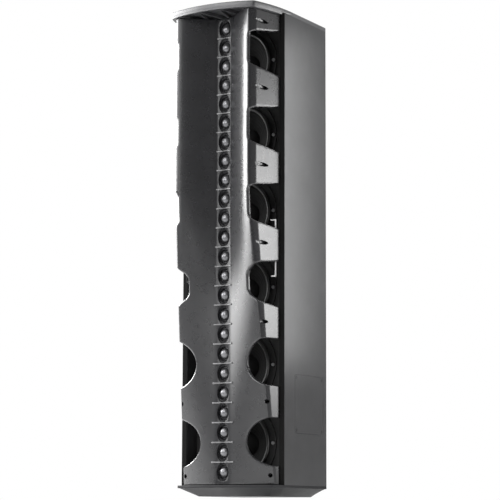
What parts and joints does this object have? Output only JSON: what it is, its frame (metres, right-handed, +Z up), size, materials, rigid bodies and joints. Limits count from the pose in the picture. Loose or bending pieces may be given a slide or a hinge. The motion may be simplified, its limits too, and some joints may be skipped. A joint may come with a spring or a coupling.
{
  "type": "line array speaker",
  "caption": "Tall black column loudspeaker with a vertical row of dome tweeters in a horn and larger drivers behind side openings.",
  "frame": {"origin": "middle of the bounding box in plan, on the surface that the column stands on", "axes": "+Z up along the column, -Y to the front where the sound leaves, X across the column"},
  "size_m": [0.244, 0.3, 1.004],
  "materials": {
    "cabinet_paint": "black textured paint over plywood",
    "cap_plastic": "moulded black, fine grain",
    "horn_plastic": "moulded black, satin to gloss",
    "baffle_paint": "flat black paint",
    "foam": "open cell foam",
    "gasket": "closed cell strip",
    "black_steel": "black oxide",
    "basket_metal": "black powder coat",
    "bright_steel": "zinc plated",
    "ferrite": "dark grey ferrite",
    "cone_paper": "coated black pulp",
    "surround_rubber": "black rubber",
    "spider_cloth": "resin dipped cloth",
    "coil_copper": "enamelled copper wire on a former",
    "dome_metal": "dark anodised dome",
    "module_plastic": "black",
    "board": "circuit board",
    "part_plastic": "film capacitor case",
    "part_ceramic": "cement resistor case",
    "thread_brass": "threaded insert",
    "clip_metal": "light grey strip",
    "switch_plastic": "light grey slider"
  },
  "bodies": {
    "cabinet": {"cabinet_shell": "cabinet_paint", "wall_edge_gaskets": "gasket", "bottom_panel": "baffle_paint", "top_panel": "baffle_paint", "front_baffle": "baffle_paint", "cabinet_braces": "baffle_paint", "damping_foam": "foam", "top_cap": "cap_plastic", "bottom_cap": "cap_plastic", "cap_screws": "black_steel", "horn_waveguide": "horn_plastic", "horn_screws": "black_steel", "horn_clips": "clip_metal", "tweeter_plates": "module_plastic", "tweeter_motors": "black_steel", "woofer_surrounds": "surround_rubber", "woofer_spiders": "spider_cloth", "woofer_magnets": "ferrite", "woofer_pole_pieces": "bright_steel", "woofer_screws": "bright_steel", "crossover_board": "board", "crossover_spacers": "module_plastic", "crossover_coils": "coil_copper", "crossover_capacitors": "part_plastic", "crossover_resistors": "part_ceramic", "side_access_cover": "cabinet_paint", "side_cover_screws": "black_steel", "input_dish": "cap_plastic", "dish_screws": "black_steel", "lid_hinge_pin": "bright_steel", "barrier_strip": "module_plastic", "terminal_screws": "bright_steel", "switch_frames": "black_steel", "bracket_inserts": "thread_brass", "woofer_basket_1": "basket_metal", "woofer_basket_2": "basket_metal", "woofer_basket_3": "basket_metal", "woofer_basket_4": "basket_metal", "woofer_basket_5": "basket_metal", "woofer_basket_6": "basket_metal"},
    "woofer_1": {"woofer_cone_1": "cone_paper", "woofer_coil_1": "coil_copper"},
    "woofer_2": {"woofer_cone_2": "cone_paper", "woofer_coil_2": "coil_copper"},
    "woofer_3": {"woofer_cone_3": "cone_paper", "woofer_coil_3": "coil_copper"},
    "woofer_4": {"woofer_cone_4": "cone_paper", "woofer_coil_4": "coil_copper"},
    "woofer_5": {"woofer_cone_5": "cone_paper", "woofer_coil_5": "coil_copper"},
    "woofer_6": {"woofer_cone_6": "cone_paper", "woofer_coil_6": "coil_copper"},
    "tweeters_middle": {"tweeter_domes_middle": "dome_metal"},
    "tweeters_lower": {"tweeter_domes_lower": "dome_metal"},
    "tweeters_upper": {"tweeter_domes_upper": "dome_metal"},
    "terminal_lid": {"terminal_lid": "cap_plastic", "lid_screw": "black_steel"},
    "voicing_switch": {"voicing_switch": "switch_plastic"},
    "coverage_switch": {"coverage_switch": "switch_plastic"}
  },
  "joints": [
    {"name": "woofer_1_travel", "type": "slide", "parent": "cabinet", "child": "woofer_1", "axis": [0, -1, 0], "range_m": [-0.005, 0.005], "stiffness_N_per_m": 1200},
    {"name": "woofer_2_travel", "type": "slide", "parent": "cabinet", "child": "woofer_2", "axis": [0, -1, 0], "range_m": [-0.005, 0.005], "stiffness_N_per_m": 1200},
    {"name": "woofer_3_travel", "type": "slide", "parent": "cabinet", "child": "woofer_3", "axis": [0, -1, 0], "range_m": [-0.005, 0.005], "stiffness_N_per_m": 1200},
    {"name": "woofer_4_travel", "type": "slide", "parent": "cabinet", "child": "woofer_4", "axis": [0, -1, 0], "range_m": [-0.005, 0.005], "stiffness_N_per_m": 1200},
    {"name": "woofer_5_travel", "type": "slide", "parent": "cabinet", "child": "woofer_5", "axis": [0, -1, 0], "range_m": [-0.005, 0.005], "stiffness_N_per_m": 1200},
    {"name": "woofer_6_travel", "type": "slide", "parent": "cabinet", "child": "woofer_6", "axis": [0, -1, 0], "range_m": [-0.005, 0.005], "stiffness_N_per_m": 1200},
    {"name": "tweeters_middle_travel", "type": "slide", "parent": "cabinet", "child": "tweeters_middle", "axis": [0, -1, 0], "range_m": [-0.0004, 0.0004], "stiffness_N_per_m": 200},
    {"name": "tweeters_lower_travel", "type": "slide", "parent": "cabinet", "child": "tweeters_lower", "axis": [0, -1, 0], "range_m": [-0.0004, 0.0004], "stiffness_N_per_m": 200},
    {"name": "tweeters_upper_travel", "type": "slide", "parent": "cabinet", "child": "tweeters_upper", "axis": [0, -1, 0], "range_m": [-0.0004, 0.0004], "stiffness_N_per_m": 200},
    {"name": "terminal_lid_hinge", "type": "hinge", "parent": "cabinet", "child": "terminal_lid", "pos_m": [0, 0.1476, 0.1894], "axis": [1, 0, 0], "range_deg": [0, 95]},
    {"name": "voicing_switch_slide", "type": "slide", "parent": "cabinet", "child": "voicing_switch", "axis": [1, 0, 0], "range_m": [0, 0.006]},
    {"name": "coverage_switch_slide", "type": "slide", "parent": "cabinet", "child": "coverage_switch", "axis": [1, 0, 0], "range_m": [0, 0.006]}
  ],
  "couplings": [
    {"joint": "woofer_2_travel", "follows": "woofer_1_travel", "ratio": 1},
    {"joint": "woofer_3_travel", "follows": "woofer_1_travel", "ratio": 1},
    {"joint": "woofer_4_travel", "follows": "woofer_1_travel", "ratio": 1},
    {"joint": "woofer_5_travel", "follows": "woofer_1_travel", "ratio": 1},
    {"joint": "woofer_6_travel", "follows": "woofer_1_travel", "ratio": 1},
    {"joint": "tweeters_lower_travel", "follows": "tweeters_middle_travel", "ratio": 1},
    {"joint": "tweeters_upper_travel", "follows": "tweeters_middle_travel", "ratio": 1}
  ]
}
